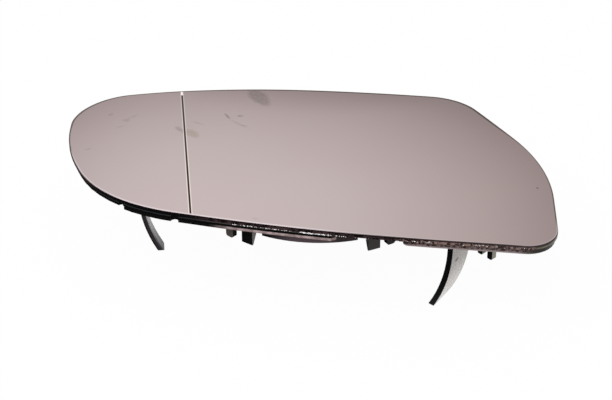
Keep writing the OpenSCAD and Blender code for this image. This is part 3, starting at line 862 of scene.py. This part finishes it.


# The inner arm's outer face, painted pale as light on it and paler to the tip, with the ejector pin's mark.
def paintInnerArm(tree, known):
    start, pegsFrom, pinRadius = plate["armFrom"], plate["pegsFrom"], plate["pinMarkRadius"]
    addRows(tree, known, [
        ("onArm", mapRange, None, ["x", start, start + 1, 0.0, 1.0]),
        ("armPart", maths, "MULTIPLY", ["onArm", "below"]),
        ("toTip", mapRange, smoothStep, ["z", -16, -34, 0.0, 1.0]),
        ("armTone", mix, colourMix, {0: "toTip", 6: plate["innerArmLight"][0], 7: plate["innerArmLight"][1]}, 2),
        ("pinOffset", vectorMath, "SUBTRACT", ["place", plate["pinMark"]]),
        ("pinShape", vectorMath, "MULTIPLY", ["pinOffset", (0.0, 0.65, 1.3)]),
        ("fromPin", vectorMath, "LENGTH", ["pinShape"], "Value"),
        ("pin", mapRange, smoothStep, ["fromPin", pinRadius + 0.15, pinRadius - 0.1, 0.0, 1.0]),
        ("armMarked", mix, colourMix, {0: "pin", 6: "armTone", 7: "#3A3837"}, 2),
        ("turnedTo", vectorMath, "DOT_PRODUCT", ["normal", facing("innerArmLight")], "Value"),
        ("armTurn", mapRange, smoothStep, ["turnedTo", 0.45, 0.6, 0.0, 1.0]),
        ("behindPegs", mapRange, None, ["y", pegsFrom - 0.5, pegsFrom, 0.0, 1.0]),
        ("armOuter", maths, "MULTIPLY", ["armPart", "armTurn"]),
        ("armShare", maths, "MULTIPLY", ["armOuter", "behindPegs"]),
        ("colour", mix, colourMix, {0: "armShare", 6: "colour", 7: "armMarked"}, 2),
    ])


# The outer arm: its narrow front, and its inner face with a painted reflection that fades from the root to
# the tip.
def paintOuterArm(tree, known):
    start = plate["outerArmFrom"]
    root, middle, tip = plate["outerArmReflection"]
    addRows(tree, known, [
        ("onOuterArm", mapRange, None, ["x", start, start - 1, 0.0, 1.0]),
        ("outerPart", maths, "MULTIPLY", ["onOuterArm", "below"]),
        ("outerShare", maths, "MULTIPLY", ["outerPart", "facesFront"]),
        ("bendRoot", maths, "ADD", ["z", 8.0]),
        ("bendSquared", maths, "MULTIPLY", ["bendRoot", "bendRoot"]),
        ("bend", maths, "MULTIPLY_ADD", ["bendSquared", -0.009, 67.9]),
        ("acrossArm", maths, "ADD", ["x", "bend"]),
        ("fromOuterSide", mapRange, smoothStep, ["acrossArm", -0.6, -0.1, 0.0, 1.0]),
        ("front", mix, colourMix, {0: "fromOuterSide", 6: plate["black"][0], 7: plate["armFront"]}, 2),
        ("rootDone", mapRange, smoothStep, ["z", -9, -20, 0.0, 1.0]),
        ("middleDone", mapRange, smoothStep, ["z", -20, -34, 0.0, 1.0]),
        ("inside", mix, colourMix, {0: "rootDone", 6: root, 7: middle}, 2),
        ("inside", mix, colourMix, {0: "middleDone", 6: "inside", 7: tip}, 2),
        # Painted highlight: the painted reflection carried onto the front's rounded inner corner.
        ("rounded", mapRange, smoothStep, ["acrossArm", 0.75, 1.0, 0.0, 1.0]),
        ("front", mix, colourMix, {0: "rounded", 6: "front", 7: "inside"}, 2),
        ("colour", mix, colourMix, {0: "outerShare", 6: "colour", 7: "front"}, 2),
        ("facesInside", mapRange, smoothStep, ["nx", 0.45, 0.6, 0.0, 1.0]),
        ("insideShare", maths, "MULTIPLY", ["outerPart", "facesInside"]),
        ("colour", mix, colourMix, {0: "insideShare", 6: "colour", 7: "inside"}, 2),
    ])


# The small parts: painted light on the pegs' sides, the sides and fronts of the clips, and the outer lug, on
# the faces turned to the light.
def paintSmallParts(tree, known):
    pegsFrom = plate["pegsFrom"]
    addRows(tree, known, [
        ("pegTurn", vectorMath, "DOT_PRODUCT", ["normal", facing("peg")], "Value"),
        ("pegSide", mapRange, None, ["pegTurn", 0.75, 0.85, 0.0, 1.0]),
        ("pegPlace", mapRange, None, ["y", pegsFrom, pegsFrom - 0.5, 0.0, 1.0]),
        ("pegPart", maths, "MULTIPLY", ["pegPlace", "armPart"]),
        ("pegShare", maths, "MULTIPLY", ["pegSide", "pegPart"]),
        ("colour", mix, colourMix, {0: "pegShare", 6: "colour", 7: plate["peg"]}, 2),
        ("onRing", mapRange, None, ["radius", 44.6, 44.2, 0.0, 1.0]),
        ("clipPart", maths, "MULTIPLY", ["onRing", "below"]),
        ("sideTurn", vectorMath, "DOT_PRODUCT", ["normal", facing("clipSide")], "Value"),
        ("sideLit", mapRange, None, ["sideTurn", 0.96, 0.99, 0.0, 1.0]),
        ("sideShare", maths, "MULTIPLY", ["sideLit", "clipPart"]),
        ("colour", mix, colourMix, {0: "sideShare", 6: "colour", 7: plate["clipSide"]}, 2),
        ("frontTurn", vectorMath, "DOT_PRODUCT", ["normal", facing("clipFront")], "Value"),
        ("frontLit", mapRange, None, ["frontTurn", 0.985, 0.995, 0.0, 1.0]),
        ("frontShare", maths, "MULTIPLY", ["frontLit", "clipPart"]),
        ("colour", mix, colourMix, {0: "frontShare", 6: "colour", 7: plate["clipFront"]}, 2),
        ("lugTurn", vectorMath, "DOT_PRODUCT", ["normal", facing("lug")], "Value"),
        ("lugLit", mapRange, None, ["lugTurn", 0.97, 0.99, 0.0, 1.0]),
        ("lugAxis", combine, None, [*plate["lugPlace"], "z"]),
        ("fromLug", vectorMath, "DISTANCE", ["place", "lugAxis"], "Value"),
        ("onLug", mapRange, None, ["fromLug", 5.0, 4.5, 0.0, 1.0]),
        ("lugPart", maths, "MULTIPLY", ["onLug", "below"]),
        ("lugShare", maths, "MULTIPLY", ["lugPart", "lugLit"]),
        ("colour", mix, colourMix, {0: "lugShare", 6: "colour", 7: plate["lug"]}, 2),
    ])


# Injection-moulded ABS, black and satin, with painted light and painted reflections in grey on the faces that
# stick out.
def mouldedPlastic():
    material, tree, shader, known = startMaterial("mouldedAbs", plate["black"][0], 0.3, gloss=0.2)
    rimEnds, hangs = plate["below"]
    addRows(tree, known, [
        ("clouds", noise, None, {"Vector": "place", "Scale": 0.06, "Detail": 3.0}),
        ("colour", mix, colourMix, {0: "clouds", 6: plate["black"][0], 7: plate["black"][1]}, 2),
        ("rough", mapRange, None, ["clouds", 0.3, 0.7, 0.24, 0.36]),
        ("below", mapRange, None, ["depth", rimEnds, hangs, 0.0, 1.0]),
        ("atEdge", mapRange, None, ["depth", rimEnds + 0.4, rimEnds, 0.0, 1.0]),
        ("facesFront", mapRange, smoothStep, ["ny", -0.45, -0.7, 0.0, 1.0]),
        ("edgeFront", maths, "MULTIPLY", ["atEdge", "facesFront"]),
        # Grain of about 0.6 mm, coarser than the real one so that it shows
        ("grain", noise, None, {"Vector": "place", "Scale": 1.6, "Detail": 2.0}),
        ("bumped", "ShaderNodeBump", None, {"Strength": 0.12, "Distance": 0.0001, "Height": "grain"}),
    ])
    for paint in (paintLip, paintRim, paintWall, paintInnerArm, paintOuterArm, paintSmallParts):
        paint(tree, known)
    finishMaterial(tree, shader, known, {"Base Color": "colour", "Roughness": "rough", "Normal": "bumped"})
    return material


for name, slot, material in (("adhesive_sheet", "adhesive_film", adhesiveFilm()),
                             ("backing_plate", "black_plastic", mouldedPlastic())):
    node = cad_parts[name]
    node.data.materials.clear()
    node.data.materials.append(material)
print("stage: adhesive and backing plate")
